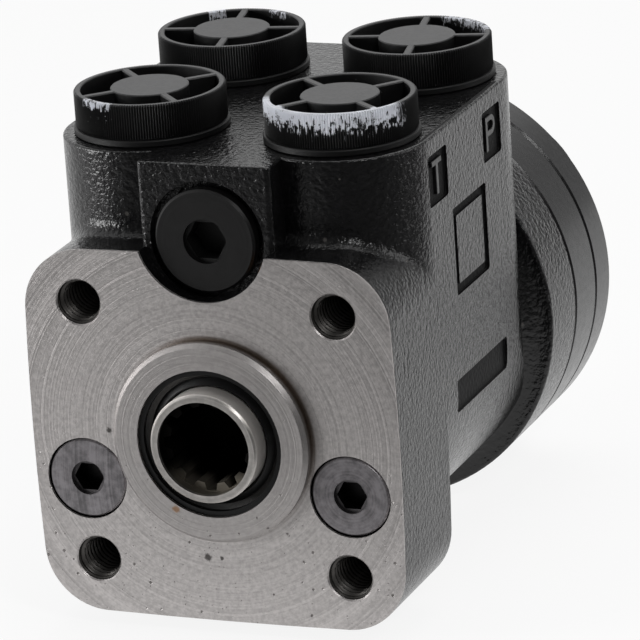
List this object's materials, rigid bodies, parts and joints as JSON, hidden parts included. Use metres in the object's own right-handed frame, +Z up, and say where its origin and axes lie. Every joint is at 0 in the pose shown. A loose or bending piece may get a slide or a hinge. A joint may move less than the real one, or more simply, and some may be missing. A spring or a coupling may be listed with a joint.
{
  "type": "orbital steering unit",
  "caption": "Hydrostatic steering unit with a bolted mounting flange, splined input, capped top ports and an orbiting gear set behind.",
  "frame": {"origin": "shaft axis at the mounting face of the flange", "axes": "+X to the right seen from the steering column, +Y back along the shaft axis, +Z up towards the ports"},
  "size_m": [0.09, 0.1412, 0.1143],
  "materials": {
    "housing_iron": "textured black paint, bare machined mounting flange",
    "painted_rings": "smooth satin black paint",
    "seal_rubber": "matt",
    "seal_plastic": "matt",
    "spool_steel": "ground and turned",
    "inner_steel": "hardened and ground",
    "relief_plug_oxide": "black oxide",
    "shock_plug_oxide": "worn oxide",
    "screw_steel": "black paint",
    "washer_steel": "black paint",
    "cap_plastic": "moulded"
  },
  "bodies": {
    "housing": {"housing": "housing_iron", "dust_seal": "seal_rubber", "shaft_seal_ring": "seal_plastic", "shaft_seal_o_ring": "seal_rubber", "bearing_outer_race": "inner_steel", "plate_o_ring": "seal_rubber", "distributor_plate": "painted_rings", "gear_rim": "painted_rings", "cover_o_ring": "seal_rubber", "end_cover": "painted_rings", "screw_washers": "washer_steel", "cover_screws": "screw_steel", "pin_screw": "screw_steel", "relief_plug": "relief_plug_oxide", "relief_plug_seal": "seal_rubber", "relief_adjuster": "inner_steel", "relief_seat": "inner_steel", "relief_spring": "inner_steel", "shock_plugs": "shock_plug_oxide", "shock_plug_seals": "seal_rubber", "shock_adjusters": "inner_steel", "shock_spring_left": "inner_steel", "shock_spring_right": "inner_steel", "suction_pins": "inner_steel", "check_stop": "inner_steel"},
    "sleeve": {"control_sleeve": "spool_steel", "spring_ring": "inner_steel", "neutral_springs": "inner_steel", "cross_pin": "inner_steel", "bearing_inner_race": "inner_steel"},
    "spool": {"control_spool": "spool_steel"},
    "bearing": {"bearing_cage": "inner_steel", "bearing_needles": "inner_steel"},
    "orbit_carrier": {"rotor_spacer": "inner_steel"},
    "wheel": {"gear_wheel": "inner_steel"},
    "cardan": {"cardan_shaft": "inner_steel"},
    "relief_poppet": {"relief_poppet": "inner_steel"},
    "shock_ball_left": {"shock_ball_left": "inner_steel"},
    "shock_ball_right": {"shock_ball_right": "inner_steel"},
    "suction_ball_left": {"suction_ball_left": "inner_steel"},
    "suction_ball_right": {"suction_ball_right": "inner_steel"},
    "check_ball": {"check_ball": "inner_steel"},
    "cap_front_left": {"port_cap_front_left": "cap_plastic"},
    "cap_front_right": {"port_cap_front_right": "cap_plastic"},
    "cap_rear_left": {"port_cap_rear_left": "cap_plastic"},
    "cap_rear_right": {"port_cap_rear_right": "cap_plastic"}
  },
  "joints": [
    {"name": "steering_input", "type": "hinge", "parent": "housing", "child": "sleeve", "pos_m": [0, 0, 0], "axis": [0, 1, 0], "continuous": true},
    {"name": "valve_turn", "type": "hinge", "parent": "sleeve", "child": "spool", "pos_m": [0, 0, 0], "axis": [0, 1, 0], "range_deg": [-8, 8], "stiffness_Nm_per_rad": 4},
    {"name": "bearing_spin", "type": "hinge", "parent": "housing", "child": "bearing", "pos_m": [0, 0, 0], "axis": [0, 1, 0], "continuous": true},
    {"name": "wheel_orbit", "type": "hinge", "parent": "housing", "child": "orbit_carrier", "pos_m": [0, 0, 0], "axis": [0, 1, 0], "continuous": true},
    {"name": "wheel_spin", "type": "hinge", "parent": "orbit_carrier", "child": "wheel", "pos_m": [0, 0.11675, 0.0033], "axis": [0, 1, 0], "continuous": true},
    {"name": "cardan_spin", "type": "hinge", "parent": "orbit_carrier", "child": "cardan", "pos_m": [0, 0.032, 0], "axis": [0, 0.9992, 0.0393], "continuous": true},
    {"name": "relief_lift", "type": "slide", "parent": "housing", "child": "relief_poppet", "axis": [0, -1, 0], "range_m": [0, 0.002], "stiffness_N_per_m": 500, "springref_m": -0.004, "deforming": ["relief_spring"]},
    {"name": "shock_lift_left", "type": "slide", "parent": "housing", "child": "shock_ball_left", "axis": [0, -1, 0], "range_m": [0, 0.0015], "stiffness_N_per_m": 500, "springref_m": -0.004, "deforming": ["shock_spring_left"]},
    {"name": "shock_lift_right", "type": "slide", "parent": "housing", "child": "shock_ball_right", "axis": [0, -1, 0], "range_m": [0, 0.0015], "stiffness_N_per_m": 500, "springref_m": -0.004, "deforming": ["shock_spring_right"]},
    {"name": "suction_lift_left", "type": "slide", "parent": "housing", "child": "suction_ball_left", "axis": [0, 1, 0], "range_m": [0, 0.0012]},
    {"name": "suction_lift_right", "type": "slide", "parent": "housing", "child": "suction_ball_right", "axis": [0, 1, 0], "range_m": [0, 0.0012]},
    {"name": "check_lift", "type": "slide", "parent": "housing", "child": "check_ball", "axis": [0, 1, 0], "range_m": [0, 0.0015]},
    {"name": "cap_lift_front_left", "type": "slide", "parent": "housing", "child": "cap_front_left", "axis": [0, 0, 1], "range_m": [0, 0.06]},
    {"name": "cap_lift_front_right", "type": "slide", "parent": "housing", "child": "cap_front_right", "axis": [0, 0, 1], "range_m": [0, 0.06]},
    {"name": "cap_lift_rear_left", "type": "slide", "parent": "housing", "child": "cap_rear_left", "axis": [0, 0, 1], "range_m": [0, 0.06]},
    {"name": "cap_lift_rear_right", "type": "slide", "parent": "housing", "child": "cap_rear_right", "axis": [0, 0, 1], "range_m": [0, 0.06]}
  ],
  "couplings": [
    {"joint": "bearing_spin", "follows": "steering_input", "ratio": 0.5},
    {"joint": "wheel_orbit", "follows": "steering_input", "ratio": -6},
    {"joint": "wheel_spin", "follows": "steering_input", "ratio": 7},
    {"joint": "cardan_spin", "follows": "steering_input", "ratio": 7}
  ]
}
